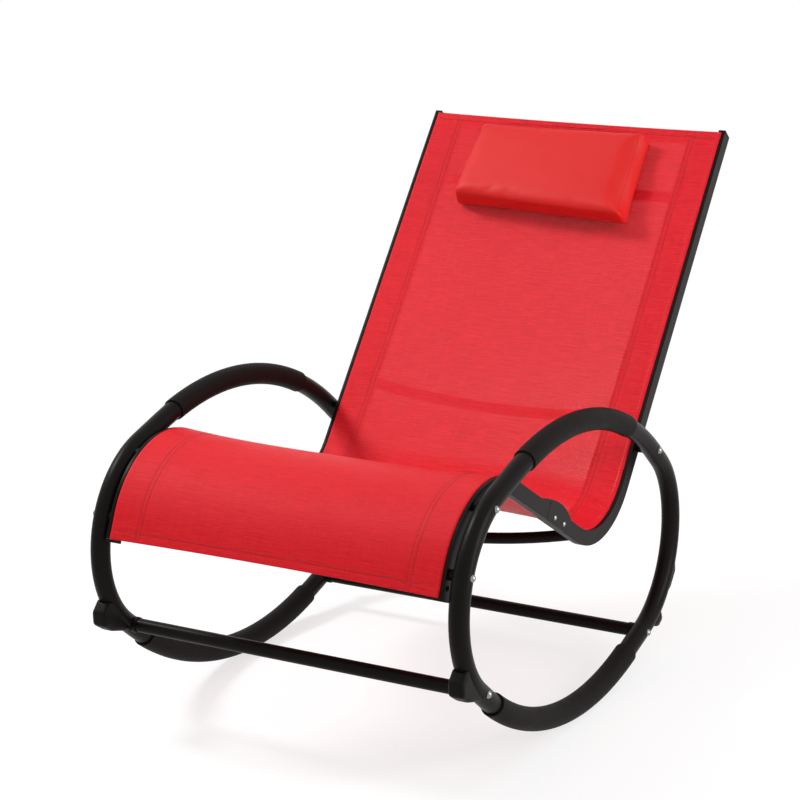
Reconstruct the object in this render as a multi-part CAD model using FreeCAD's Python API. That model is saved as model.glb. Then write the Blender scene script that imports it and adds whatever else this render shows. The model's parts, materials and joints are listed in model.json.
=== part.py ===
import FreeCAD
import Part
import math
import os

# Outdoor rocking chair: two closed hoops of bent tube carry two pairs of rails with a sling between.
# Millimetres and degrees. +X is the sitter's left, +Y points to the rear, +Z up, and the origin is on
# the floor under the middle of the chair. Every side view is a path of straight runs and round bends
# in a plane of constant x. A heading is measured from +Y towards +Z, and a positive turn is to the left.

Vector = FreeCAD.Vector
ACROSS = Vector(1, 0, 0)

# Hoops: each half is a rear bend, a short run, a long flat bend, a long run and a front bend
HOOP_AHEAD = 130.25
HOOP_X = 300.0
TUBE_RADIUS = 15.0
TUBE_WALL = 1.5
NOSE_RADIUS = 157.0
CREST_RADIUS = 557.5
CREST_TURN = 55.57
SHORT_RUN = 31.64
LONG_RUN = 64.05
JOINT_HEADING = 101.6
JOINT_TURN = 39.87
SPIGOT_RADIUS = 13.3
SPIGOT_HALF_TURN = 16.4
FIT_GAP = 0.1

# Soft sleeves on the hoops, as angles seen from the middle of the long bends
GRIP_RADIUS = 17.5
GRIP_ANGLES = (65.0, 103.9)
SLEEVE_RADIUS = 18.25
SLEEVE_ANGLES = (234.3, 286.5)
SLEEVE_END_ROUNDING = 1.2

# Stops and pads, as (radius, angle) seen from the middle of the hoop's front or rear bend
STOP_HALF_WIDTH = 13.0
STOP_SEAT_MARGIN = 5.0
STOP_ROUNDING = 5.0
FRONT_STOP = [(148.0, 205.0), (168.0, 205.0), (190.0, 207.6), (199.5, 213.0), (190.5, 220.0), (170.0, 232.8),
              (148.0, 232.8)]
REAR_STOP = [(148.0, -65.5), (168.0, -65.5), (184.0, -60.5), (185.5, -54.5), (167.0, -53.0), (148.0, -53.0)]
REAR_PAD = [(148.0, -42.0), (166.0, -42.0), (173.0, -37.5), (176.5, -27.5), (168.0, -22.5), (148.0, -22.5)]

# Cross bars between the hoops
BAR_RADIUS = 10.65
BAR_WALL = 1.5
BAR_END_X = 284.9
FRONT_BAR_SHARE = 0.25
REAR_BAR_SHARE = 0.87
SADDLE_RADIUS = 12.1
SADDLE_X = 280.5
PLUG_LENGTH = 25.0

# Rails: the line is the face that the sling lies on, and depth is measured down from it
RAIL_START_AHEAD = 395.5
RAIL_START_RISE = 68.6
RAIL_START_HEADING = 67.71
FLAP_RUN = 36.4
KNEE_RADIUS = 152.7
SEAT_HEADING = -30.15
SEAT_RUN_TO_SEAM = 134.0
SEAT_RUN_FROM_SEAM = 143.2
HIP_RADIUS = 123.9
BACK_HEADING = 51.88
BACK_RUN = 650.0
RAIL_WIDTH = 12.0
RAIL_DEPTH = 24.0
RAIL_WALL = 1.0
SEAT_RAIL_X = 268.3
BACK_RAIL_X = 264.2
SLOT_WIDTH = 2.4
CAP_THICKNESS = 5.0
CAP_PLUG = 8.0

# Flattened end of the seat rail, which lies on the outside of the back rail
TONGUE_THICKNESS = 3.5
TONGUE_ROOT = 33.0
TONGUE_STRAIGHT = 70.0
TONGUE_NOSE_RADIUS = 22.0
TONGUE_RISE = (4.0, 8.6)
TONGUE_CREST = (36.0, 11.3)
TONGUE_FALL = (72.0, 6.4)
SPLICE_GROOVE_WIDTH = 2.4
SPLICE_GROOVE_DEPTH = 2.4
SPLICE_GROOVE_FOOT = 2.5
SPLICE_GROOVE_TOP = 4.0
SPLICE_SCREWS_AT = (29.5, 67.0)
SPLICE_SCREW_DEPTH = 13.4

# Spreaders across the rails: the front one is screwed on, the others are welded
SPREADER_RADIUS = 9.0
SPREADER_WALL = 1.2
SPREADER_DEPTH = 12.0
SPREADER_END = 4.0
FRONT_SPREADER_AT = 14.0
LUMBAR_SPREADER_AT = 125.0
LUMBAR_SPREADER_TURN = 15.0
BACK_SPREADER_AT = 525.0
SPREADER_BOW = 35.0
SPREADER_SPARE_TURN = 2.0

# Sling and the rods in its hems
SLING_LIFT = 0.2
SLING_THICKNESS = 1.0
ROD_RADIUS = 1.5
ROD_DEPTH = 2.6
ROD_SETBACK = 14.0

# Head pillow and its strips, as places on the back: across, up from the hip bend, off the rails
PILLOW_WIDTH = 320.0
PILLOW_HEIGHT = 165.0
PILLOW_THICKNESS = 44.0
PILLOW_ROUNDING = 14.0
PILLOW_WALL = 5.0
PILLOW_ACROSS = -11.0
PILLOW_UP = 545.0
PILLOW_TILT = -1.8
STRIP_WIDTH = 28.0
STRIP_ACROSS = 95.0
STRIP_THICKNESS = 1.2
STRIP_GAP = 0.4
LOOP_LENGTH = 116.0
HOOK_LENGTH = 70.0

# Fasteners
BOLT_HEAD_RADIUS = 6.0
BOLT_HEAD_HEIGHT = 5.2
BOLT_HEAD_SINK = 1.4
BOLT_RADIUS = 3.0
SCREW_HEAD_RADIUS = 4.2
SCREW_HEAD_HEIGHT = 2.2
SCREW_RADIUS = 2.5
HOLE_GAP = 0.2
NUT_RADIUS = 5.6
NUT_THICKNESS = 5.0
SPACER_RADIUS = 8.0
FRONT_BOLT_ANGLES = (117.8, 157.6)
REAR_BOLT_ANGLE = 52.5


# Paths in a side plane
def ahead(heading):
    angle = math.radians(heading)
    return Vector(0, math.cos(angle), math.sin(angle))


def left_of(heading):
    return ahead(heading + 90)


class Stretch:
    """A straight run, whose radius is 0, or a round bend."""

    def __init__(self, start, heading, length, radius, turn):
        self.start = start
        self.heading = heading
        self.length = length
        self.radius = radius
        self.turn = turn
        self.hand = math.copysign(1, turn)
        self.centre = start + left_of(heading) * (self.hand * radius)

    def at(self, share):
        if self.radius:
            return self.centre - left_of(self.heading + share * self.turn) * (self.hand * self.radius)
        return self.start + ahead(self.heading) * (share * self.length)

    def end(self):
        return self.at(1)

    def travel(self):
        return self.length + self.radius * math.radians(abs(self.turn))

    def between(self, first, last):
        share = last - first
        heading = self.heading + first * self.turn
        return Stretch(self.at(first), heading, share * self.length, self.radius, share * self.turn)

    def beside(self, offset):
        radius = self.radius - self.hand * offset if self.radius else 0
        start = self.start + left_of(self.heading) * offset
        return Stretch(start, self.heading, self.length, radius, self.turn)

    def edge(self):
        if self.radius:
            return Part.Arc(self.start, self.at(0.5), self.end()).toShape()
        return Part.makeLine(self.start, self.end())


def run(length):
    return (length, 0, 0)


def bend(radius, turn):
    return (0, radius, turn)


def path(start, heading, moves):
    stretches = []
    for length, radius, turn in moves:
        stretches.append(Stretch(start, heading, length, radius, turn))
        start = stretches[-1].end()
        heading += turn
    return stretches


def trimmed(stretches, from_start, from_end):
    """The path without its first and last few millimetres."""
    first, last = stretches[0], stretches[-1]
    begin = first.between(from_start / first.travel(), 1)
    finish = last.between(0, 1 - from_end / last.travel())
    return [begin] + stretches[1:-1] + [finish]


def beside(stretches, offset):
    return [stretch.beside(offset) for stretch in stretches]


def seen_from(centre, radius, angle):
    return centre + ahead(angle) * radius


def round_stretch(centre, radius, angles):
    first, last = angles
    return Stretch(seen_from(centre, radius, first), first + 90, 0, radius, last - first)


# Solids
def merged(solids):
    joined = solids[0].multiFuse(solids[1:]) if solids[1:] else solids[0]
    return joined.Solids[0]


def ribbon(stretches, low, high, x_low, x_high):
    """Solid between two offsets of a path, from x_low to x_high."""
    under = beside(stretches, low)
    over = beside(stretches, high)
    edges = [stretch.edge() for stretch in under + over]
    edges.append(Part.makeLine(under[0].start, over[0].start))
    edges.append(Part.makeLine(under[-1].end(), over[-1].end()))
    face = Part.Face(Part.Wire(Part.__sortEdges__(edges)))
    face.translate(ACROSS * x_low)
    return face.extrude(ACROSS * (x_high - x_low))


def ring(middle, axis, outer, inner):
    face = Part.Face(Part.Wire(Part.makeCircle(outer, middle, axis)))
    if inner:
        face = face.cut(Part.Face(Part.Wire(Part.makeCircle(inner, middle, axis)))).Faces[0]
    return face


def tube(stretches, x, outer, inner=0):
    """Round tube along a path, or a rod where inner is 0."""
    solids = []
    for stretch in stretches:
        axis = ahead(stretch.heading)
        section = ring(stretch.start + ACROSS * x, axis, outer, inner)
        if stretch.radius:
            solids.append(section.revolve(stretch.centre, ACROSS * stretch.hand, abs(stretch.turn)))
        else:
            solids.append(section.extrude(axis * stretch.length))
    return merged(solids)


def pin(spot, x_low, x_high, radius):
    return Part.makeCylinder(radius, x_high - x_low, spot + ACROSS * x_low, ACROSS)


def pipe(spot, x_low, x_high, outer, inner):
    return pin(spot, x_low, x_high, outer).cut(pin(spot, x_low, x_high, inner))


def dome(spot, x, radius, height):
    """Domed head on the plane x, bulging outwards."""
    ball = (radius ** 2 + height ** 2) / (2 * height)
    centre = spot + ACROSS * (x + height - ball)
    return Part.makeSphere(ball, centre).common(pin(spot, x, x + height, radius))


def nut(spot, x_low, bore):
    corners = [spot + ahead(60 * step) * NUT_RADIUS for step in range(7)]
    face = Part.Face(Part.makePolygon(corners))
    face.translate(ACROSS * x_low)
    block = face.extrude(ACROSS * NUT_THICKNESS)
    return block.cut(pin(spot, x_low, x_low + NUT_THICKNESS, bore))


def drilled(shape, spots, radius):
    for spot in spots:
        shape = shape.cut(pin(spot, 0, 2 * HOOP_X, radius))
    return shape.Solids[0]


def mirrored(shape):
    return shape.mirror(Vector(), ACROSS)


def on_both_sides(shapes):
    return Part.makeCompound(shapes + [mirrored(shape) for shape in shapes])


# Hoop paths: the lower half is the upper half turned half round
HALF_MOVES = [
    bend(NOSE_RADIUS, JOINT_TURN),
    run(SHORT_RUN),
    bend(CREST_RADIUS, CREST_TURN),
    run(LONG_RUN),
    bend(NOSE_RADIUS, 180 - CREST_TURN - JOINT_TURN),
]


def hoop_paths():
    trial = path(Vector(), JOINT_HEADING, HALF_MOVES)
    half_span = trial[-1].end() * 0.5
    rocker_middle = half_span - trial[2].centre
    rise = SLEEVE_RADIUS + CREST_RADIUS - rocker_middle.z
    middle = Vector(0, -HOOP_AHEAD, rise)
    upper = path(middle - half_span, JOINT_HEADING, HALF_MOVES)
    lower = path(middle + half_span, JOINT_HEADING + 180, HALF_MOVES)
    return middle, upper, lower


HOOP_MIDDLE, UPPER, LOWER = hoop_paths()
ARM_CENTRE = UPPER[2].centre
ROCKER_CENTRE = LOWER[2].centre
FRONT_CENTRE = UPPER[4].centre
REAR_CENTRE = LOWER[4].centre
HOOP_SOLID = merged([tube(UPPER, HOOP_X, TUBE_RADIUS), tube(LOWER, HOOP_X, TUBE_RADIUS)])

# Rail paths on the sling's face
RAIL_START = HOOP_MIDDLE + Vector(0, -RAIL_START_AHEAD, RAIL_START_RISE)
SEAT = path(RAIL_START, RAIL_START_HEADING, [
    run(FLAP_RUN),
    bend(KNEE_RADIUS, SEAT_HEADING - RAIL_START_HEADING),
    run(SEAT_RUN_TO_SEAM),
])
SEAM = SEAT[-1].end()
BACK = path(SEAM, SEAT_HEADING, [
    run(SEAT_RUN_FROM_SEAM),
    bend(HIP_RADIUS, BACK_HEADING - SEAT_HEADING),
    run(BACK_RUN),
])
HIP_TOP = BACK[-1].start
SEAT_RAIL_OUTER = SEAT_RAIL_X + RAIL_WIDTH
BACK_RAIL_OUTER = BACK_RAIL_X + RAIL_WIDTH
TONGUE_OUTER = BACK_RAIL_OUTER + TONGUE_THICKNESS

# Places of the fasteners in the side view
FRONT_BOLTS = [seen_from(FRONT_CENTRE, NOSE_RADIUS, angle) for angle in FRONT_BOLT_ANGLES]
REAR_BOLT = seen_from(ARM_CENTRE, CREST_RADIUS, REAR_BOLT_ANGLE)
BAR_SPOTS = [LOWER[1].at(FRONT_BAR_SHARE), LOWER[3].at(REAR_BAR_SHARE)]


def under_line(stretch, distance, depth):
    """Point at a distance along a straight run and at a depth under the sling's face."""
    return stretch.start + ahead(stretch.heading) * distance - left_of(stretch.heading) * depth


FRONT_SPREADER = under_line(SEAT[0], FRONT_SPREADER_AT, SPREADER_DEPTH)
HIP_SPREADER = under_line(BACK[0], SEAT_RUN_FROM_SEAM, SPREADER_DEPTH)
LUMBAR_SPREADER = under_line(BACK[2], LUMBAR_SPREADER_AT, SPREADER_DEPTH)
BACK_SPREADER = under_line(BACK[2], BACK_SPREADER_AT, SPREADER_DEPTH)
HIP_BOW_HEADING = SEAT_HEADING - 90
LUMBAR_BOW_HEADING = BACK_HEADING - 90 - LUMBAR_SPREADER_TURN
SPLICE_SPOTS = [under_line(BACK[0], distance, SPLICE_SCREW_DEPTH) for distance in SPLICE_SCREWS_AT]


# Hoops and what is on them
def hoop_half(stretches, holes):
    shell = tube(stretches, HOOP_X, TUBE_RADIUS, TUBE_RADIUS - TUBE_WALL)
    return drilled(shell, holes, BOLT_RADIUS + HOLE_GAP)


def spigots():
    solids = []
    for centre, joint in ((FRONT_CENTRE, UPPER[4].end()), (REAR_CENTRE, LOWER[4].end())):
        reach = joint - centre
        angle = math.degrees(math.atan2(reach.z, reach.y))
        span = (angle - SPIGOT_HALF_TURN, angle + SPIGOT_HALF_TURN)
        bent = round_stretch(centre, NOSE_RADIUS, span)
        solids.append(tube([bent], HOOP_X, SPIGOT_RADIUS, SPIGOT_RADIUS - TUBE_WALL))
    return on_both_sides(solids)


def sleeve(centre, angles, radius):
    solid = tube([round_stretch(centre, CREST_RADIUS, angles)], HOOP_X, radius, TUBE_RADIUS + FIT_GAP)
    rims = [edge for edge in solid.Edges if abs(edge.Length - 2 * math.pi * radius) < FIT_GAP]
    return solid.makeFillet(SLEEVE_END_ROUNDING, rims)


def stop(centre, outline):
    """Wedge block that straddles the outer side of the tube."""
    corners = [seen_from(centre, radius, angle) for radius, angle in outline + outline[:1]]
    face = Part.Face(Part.makePolygon(corners))
    face.translate(ACROSS * (HOOP_X - STOP_HALF_WIDTH))
    block = face.extrude(ACROSS * (2 * STOP_HALF_WIDTH))
    block = block.makeFillet(STOP_ROUNDING, block.Edges)
    first = min(angle for radius, angle in outline)
    last = max(angle for radius, angle in outline)
    seat = round_stretch(centre, NOSE_RADIUS, (first - STOP_SEAT_MARGIN, last + STOP_SEAT_MARGIN))
    block = block.cut(tube([seat], HOOP_X, TUBE_RADIUS + FIT_GAP))
    for spot in BAR_SPOTS:
        block = block.cut(pin(spot, SADDLE_X, HOOP_X, SADDLE_RADIUS + FIT_GAP))
    return max(block.Solids, key=lambda solid: solid.Volume)


# Cross bars
def cross_bar(spot):
    return pipe(spot, -BAR_END_X, BAR_END_X, BAR_RADIUS, BAR_RADIUS - BAR_WALL)


def bar_saddle(spot):
    collar = pipe(spot, SADDLE_X, HOOP_X, SADDLE_RADIUS, BAR_RADIUS)
    return max(collar.cut(HOOP_SOLID).Solids, key=lambda solid: solid.Volume)


def bar_plug(spot):
    return pipe(spot, BAR_END_X - PLUG_LENGTH, BAR_END_X, BAR_RADIUS - BAR_WALL, BOLT_RADIUS)


# Rails
def rail(stretches, x_low):
    """Box rail with a slot along the middle of its face for the sling's hem."""
    x_high = x_low + RAIL_WIDTH
    middle = x_low + RAIL_WIDTH / 2
    body = ribbon(stretches, -RAIL_DEPTH, 0, x_low, x_high)
    hollow = ribbon(stretches, RAIL_WALL - RAIL_DEPTH, -RAIL_WALL, x_low + RAIL_WALL, x_high - RAIL_WALL)
    slot = ribbon(stretches, -2 * RAIL_WALL, RAIL_WALL, middle - SLOT_WIDTH / 2, middle + SLOT_WIDTH / 2)
    return body.cut(hollow).cut(slot).Solids[0]


def tongue():
    def place(distance, height):
        return under_line(BACK[0], distance, -height)

    nose_x, nose_n = TONGUE_STRAIGHT, TONGUE_NOSE_RADIUS - RAIL_DEPTH
    slant = TONGUE_NOSE_RADIUS * math.sqrt(0.5)
    root_low = place(-TONGUE_ROOT, -RAIL_DEPTH)
    root_high = place(-TONGUE_ROOT, 0)
    tip = place(nose_x + TONGUE_NOSE_RADIUS, nose_n)
    foot = place(nose_x, -RAIL_DEPTH)
    crest = place(*TONGUE_CREST)
    edges = [
        Part.makeLine(root_low, foot),
        Part.Arc(foot, place(nose_x + slant, nose_n - slant), tip).toShape(),
        Part.Arc(tip, place(*TONGUE_FALL), crest).toShape(),
        Part.Arc(crest, place(*TONGUE_RISE), root_high).toShape(),
        Part.makeLine(root_high, root_low),
    ]
    face = Part.Face(Part.Wire(edges))
    face.translate(ACROSS * BACK_RAIL_OUTER)
    return face.extrude(ACROSS * TONGUE_THICKNESS)


def splice_groove():
    """Groove across the outer face where the rail proper ends and its tongue goes on."""
    line = path(under_line(BACK[0], -SPLICE_GROOVE_WIDTH / 2, 0), SEAT_HEADING, [run(SPLICE_GROOVE_WIDTH)])
    return ribbon(line, SPLICE_GROOVE_FOOT - RAIL_DEPTH, SPLICE_GROOVE_TOP,
                  SEAT_RAIL_OUTER - SPLICE_GROOVE_DEPTH, SEAT_RAIL_OUTER)


def seat_rail():
    body = merged([rail(SEAT, SEAT_RAIL_X), tongue()]).cut(splice_groove())
    body = drilled(body, FRONT_BOLTS, BOLT_RADIUS + HOLE_GAP)
    return drilled(body, [FRONT_SPREADER] + SPLICE_SPOTS, SCREW_RADIUS + HOLE_GAP)


def back_rail():
    body = drilled(rail(BACK, BACK_RAIL_X), [REAR_BOLT], BOLT_RADIUS + HOLE_GAP)
    return drilled(body, SPLICE_SPOTS, SCREW_RADIUS + HOLE_GAP)


def rail_cap(stretch, cover_at, plug_at, x_low):
    """Cover on a rail's open end, with a plug inside the rail."""
    cover = path(under_line(stretch, cover_at, 0), stretch.heading, [run(CAP_THICKNESS)])
    plug = path(under_line(stretch, plug_at, 0), stretch.heading, [run(CAP_PLUG)])
    inset = RAIL_WALL + FIT_GAP
    return merged([
        ribbon(cover, -RAIL_DEPTH, 0, x_low, x_low + RAIL_WIDTH),
        ribbon(plug, inset - RAIL_DEPTH, -inset, x_low + inset, x_low + RAIL_WIDTH - inset),
    ])


# Spreaders
def straight_spreader(spot, half_length):
    return pipe(spot, -half_length, half_length, SPREADER_RADIUS, SPREADER_RADIUS - SPREADER_WALL)


def screwed_spreader(spot, half_length):
    """Straight tube with a disc in each end that takes a screw."""
    disc = pipe(spot, half_length - SPREADER_END, half_length, SPREADER_RADIUS, SCREW_RADIUS)
    return merged([straight_spreader(spot, half_length), disc, mirrored(disc)])


def bowed_spreader(spot, bow_heading, half_length):
    """Tube bowed away from the sling, its ends cut square to the rails that it is welded to."""
    away = ahead(bow_heading)
    radius = (half_length ** 2 + SPREADER_BOW ** 2) / (2 * SPREADER_BOW)
    centre = spot + away * (SPREADER_BOW - radius)
    axis = ACROSS.cross(away)
    half_turn = math.degrees(math.asin(half_length / radius)) + SPREADER_SPARE_TURN
    furthest = spot + away * SPREADER_BOW

    def bowed(outer):
        section = ring(furthest, ACROSS, outer, 0)
        solid = section.revolve(centre, axis, 2 * half_turn)
        solid.rotate(centre, axis, -half_turn)
        return solid.common(pin(spot, -half_length, half_length, 2 * SPREADER_BOW))

    return bowed(SPREADER_RADIUS).cut(bowed(SPREADER_RADIUS - SPREADER_WALL)).Solids[0]


# Sling
def hem(stretches, x):
    return ribbon(stretches, ROD_RADIUS - ROD_DEPTH, SLING_LIFT + SLING_THICKNESS,
                  x - SLING_THICKNESS / 2, x + SLING_THICKNESS / 2)


def sling():
    """One sheet from the front flap to the top of the back, its hems turned down into the slots."""
    pieces = []
    for stretches, x_low in ((SEAT, SEAT_RAIL_X), (BACK, BACK_RAIL_X)):
        x = x_low + RAIL_WIDTH / 2
        edge = x + SLING_THICKNESS / 2
        pieces.append(ribbon(stretches, SLING_LIFT, SLING_LIFT + SLING_THICKNESS, -edge, edge))
        side = hem(trimmed(stretches, ROD_SETBACK, ROD_SETBACK), x)
        pieces += [side, mirrored(side)]
    return merged(pieces)


def hem_rod(stretches, x_low):
    line = beside(trimmed(stretches, ROD_SETBACK, ROD_SETBACK), -ROD_DEPTH)
    return tube(line, x_low + RAIL_WIDTH / 2, ROD_RADIUS)


# Pillow
def block_on_back(width, height, low, high, across, up):
    return Part.makeBox(width, height, high - low, Vector(across - width / 2, up - height / 2, low))


def laid_on_back(shape):
    shape.rotate(Vector(), ACROSS, BACK_HEADING)
    shape.translate(HIP_TOP)
    return shape


def tilted(shape):
    shape.rotate(Vector(PILLOW_ACROSS, PILLOW_UP, 0), Vector(0, 0, 1), PILLOW_TILT)
    return shape


LOOP_LOW = SLING_LIFT + SLING_THICKNESS
HOOK_LOW = LOOP_LOW + STRIP_THICKNESS + STRIP_GAP
PILLOW_LOW = HOOK_LOW + STRIP_THICKNESS


def strips(length, low):
    places = (PILLOW_ACROSS - STRIP_ACROSS, PILLOW_ACROSS + STRIP_ACROSS)
    return Part.makeCompound([
        block_on_back(STRIP_WIDTH, length, low, low + STRIP_THICKNESS, across, PILLOW_UP)
        for across in places
    ])


def pillow_block(inset):
    """Pillow-shaped block, smaller by the inset all round."""
    width = PILLOW_WIDTH - 2 * inset
    height = PILLOW_HEIGHT - 2 * inset
    high = PILLOW_LOW + PILLOW_THICKNESS
    block = block_on_back(width, height, PILLOW_LOW + inset, high - inset, PILLOW_ACROSS, PILLOW_UP)
    return block.makeFillet(PILLOW_ROUNDING - inset, block.Edges)


def pillow():
    """Closed cover; its wall stands for the cloth and the light filling together."""
    return laid_on_back(tilted(pillow_block(0).cut(pillow_block(PILLOW_WALL)).Solids[0]))


# Fasteners
def bolt(spot, x_inner):
    """Bolt through the hoop, its head shaped to the tube, with its end at x_inner."""
    x = HOOP_X + TUBE_RADIUS - BOLT_HEAD_SINK
    head = dome(spot, x, BOLT_HEAD_RADIUS, BOLT_HEAD_HEIGHT).cut(HOOP_SOLID)
    return merged([head, pin(spot, x_inner, HOOP_X + TUBE_RADIUS + BOLT_HEAD_SINK, BOLT_RADIUS)])


def screw(spot, x_outer, x_inner):
    head = dome(spot, x_outer, SCREW_HEAD_RADIUS, SCREW_HEAD_HEIGHT)
    return merged([head, pin(spot, x_inner, x_outer, SCREW_RADIUS)])


def spacer(spot, x_low):
    block = pipe(spot, x_low, HOOP_X, SPACER_RADIUS, BOLT_RADIUS + HOLE_GAP)
    return min(block.cut(HOOP_SOLID).Solids, key=lambda solid: solid.BoundBox.XMin)


# Every node of the chair
def single_nodes():
    seat_half = SEAT_RAIL_X
    back_half = BACK_RAIL_X
    bolt_end = -NUT_THICKNESS
    return {
        "hoop_spigots": spigots(),
        "front_cross_bar": cross_bar(BAR_SPOTS[0]),
        "rear_cross_bar": cross_bar(BAR_SPOTS[1]),
        "cross_bar_saddles": on_both_sides([bar_saddle(spot) for spot in BAR_SPOTS]),
        "cross_bar_plugs": on_both_sides([bar_plug(spot) for spot in BAR_SPOTS]),
        "cross_bar_bolts": on_both_sides([bolt(spot, BAR_END_X - PLUG_LENGTH) for spot in BAR_SPOTS]),
        "rail_bolts": on_both_sides(
            [bolt(spot, SEAT_RAIL_X + bolt_end) for spot in FRONT_BOLTS]
            + [bolt(REAR_BOLT, BACK_RAIL_X + bolt_end)]),
        "rail_nuts": on_both_sides(
            [nut(spot, SEAT_RAIL_X + bolt_end, BOLT_RADIUS) for spot in FRONT_BOLTS]
            + [nut(REAR_BOLT, BACK_RAIL_X + bolt_end, BOLT_RADIUS)]),
        "rail_spacers": on_both_sides(
            [spacer(spot, SEAT_RAIL_OUTER) for spot in FRONT_BOLTS] + [spacer(REAR_BOLT, BACK_RAIL_OUTER)]),
        "splice_screws": on_both_sides(
            [screw(spot, TONGUE_OUTER, BACK_RAIL_X + bolt_end) for spot in SPLICE_SPOTS]),
        "splice_nuts": on_both_sides(
            [nut(spot, BACK_RAIL_X + bolt_end, SCREW_RADIUS) for spot in SPLICE_SPOTS]),
        "front_spreader": screwed_spreader(FRONT_SPREADER, seat_half),
        "hip_spreader": bowed_spreader(HIP_SPREADER, HIP_BOW_HEADING, back_half),
        "lumbar_spreader": bowed_spreader(LUMBAR_SPREADER, LUMBAR_BOW_HEADING, back_half),
        "back_spreader": straight_spreader(BACK_SPREADER, back_half),
        "spreader_screws": on_both_sides([screw(FRONT_SPREADER, SEAT_RAIL_OUTER, seat_half - SPREADER_END)]),
        "sling": sling(),
        "sling_loop_strips": laid_on_back(strips(LOOP_LENGTH, LOOP_LOW)),
        "pillow_hook_strips": laid_on_back(tilted(strips(HOOK_LENGTH, HOOK_LOW))),
        "head_pillow": pillow(),
    }


def paired_nodes():
    return {
        "hoop_upper": hoop_half(UPPER, FRONT_BOLTS + [REAR_BOLT]),
        "hoop_lower": hoop_half(LOWER, BAR_SPOTS),
        "arm_grip": sleeve(ARM_CENTRE, GRIP_ANGLES, GRIP_RADIUS),
        "rocker_sleeve": sleeve(ROCKER_CENTRE, SLEEVE_ANGLES, SLEEVE_RADIUS),
        "front_stop": stop(FRONT_CENTRE, FRONT_STOP),
        "rear_stop": stop(REAR_CENTRE, REAR_STOP),
        "rear_pad": stop(REAR_CENTRE, REAR_PAD),
        "seat_rail": seat_rail(),
        "back_rail": back_rail(),
        "rail_front_cap": rail_cap(SEAT[0], -CAP_THICKNESS, 0, SEAT_RAIL_X),
        "rail_top_cap": rail_cap(BACK[2], BACK_RUN, BACK_RUN - CAP_PLUG, BACK_RAIL_X),
        "seat_rod": hem_rod(SEAT, SEAT_RAIL_X),
        "back_rod": hem_rod(BACK, BACK_RAIL_X),
    }


def main():
    os.makedirs("parts", exist_ok=True)
    nodes = single_nodes()
    for name, shape in paired_nodes().items():
        nodes[name + "_left"] = shape
        nodes[name + "_right"] = mirrored(shape)
    whole = FreeCAD.BoundBox()
    for name, shape in nodes.items():
        shape.exportStep(f"parts/{name}.step")
        whole.add(shape.optimalBoundingBox())
        print(f"{name}: {len(shape.Solids)} solid(s), {shape.Volume / 1000:.1f} cm3, valid {shape.isValid()}")
    print(f"{len(nodes)} nodes in {whole}")


main()
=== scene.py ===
# %% [markdown]
# # An outdoor rocking chair
#
# Two closed hoops of black tube are arm rest and rocker in one. Between them hang two pairs of rails,
# and a red mesh sling is stretched from rail to rail, with a small stuffed pillow at the head end.
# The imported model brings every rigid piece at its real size. This lesson adds what a solid model
# lacks: the stretched cloth with its hems and stitches, the swollen pillow, and every finish.

import json
import math

import bmesh
import bpy
import numpy as np
from mathutils import Matrix, Vector
from mathutils.bvhtree import BVHTree


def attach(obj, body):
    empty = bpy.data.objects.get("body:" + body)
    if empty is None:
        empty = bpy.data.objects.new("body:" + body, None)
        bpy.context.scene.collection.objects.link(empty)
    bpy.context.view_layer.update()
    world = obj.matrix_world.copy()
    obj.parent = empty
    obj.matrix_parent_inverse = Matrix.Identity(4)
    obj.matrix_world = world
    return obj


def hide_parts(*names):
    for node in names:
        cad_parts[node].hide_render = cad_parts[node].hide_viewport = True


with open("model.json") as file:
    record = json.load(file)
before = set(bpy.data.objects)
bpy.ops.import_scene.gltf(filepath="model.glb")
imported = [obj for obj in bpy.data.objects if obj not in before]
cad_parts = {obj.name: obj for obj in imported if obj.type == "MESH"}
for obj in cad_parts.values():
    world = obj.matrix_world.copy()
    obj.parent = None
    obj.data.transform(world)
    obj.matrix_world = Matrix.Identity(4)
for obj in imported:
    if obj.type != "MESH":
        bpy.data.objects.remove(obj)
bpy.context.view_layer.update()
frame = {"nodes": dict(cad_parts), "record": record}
scene = bpy.context.scene
scene.view_settings.view_transform = "Standard"

# %% [markdown]
# ## Camera
#
# The chair is seen from its front and a little to the sitter's left, from just above the seat, with a
# long lens. A camera with no roll needs only a place and two angles: a turn about the vertical and a
# tilt down. Setting them directly is clearer than aiming at a target, and it is exact.

# %% Camera
CAMERA_PLACE = (1.6754, -3.20435, 1.3748)
CAMERA_TURN = 28.608
CAMERA_TILT_DOWN = 14.477
CAMERA_LENS_MM = 105.04
CAMERA_SENSOR_MM = 36.0

camera = bpy.data.objects.new("camera", bpy.data.cameras.new("camera"))
camera.data.lens = CAMERA_LENS_MM
camera.data.sensor_width = CAMERA_SENSOR_MM
camera.location = CAMERA_PLACE
camera.rotation_euler = (math.radians(90 - CAMERA_TILT_DOWN), 0, math.radians(CAMERA_TURN))
scene.collection.objects.link(camera)
scene.camera = camera
print("camera lens", CAMERA_LENS_MM, "mm at", CAMERA_PLACE)

# %% [markdown]
# ## A short way to write shader maths
#
# A material is a graph of nodes, and long formulas are hard to read as links. This class wraps one
# output socket. Arithmetic on it adds Math nodes, and its method node adds any other node to the same
# material: its settings are set first, and then its inputs get values or links.


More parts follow.
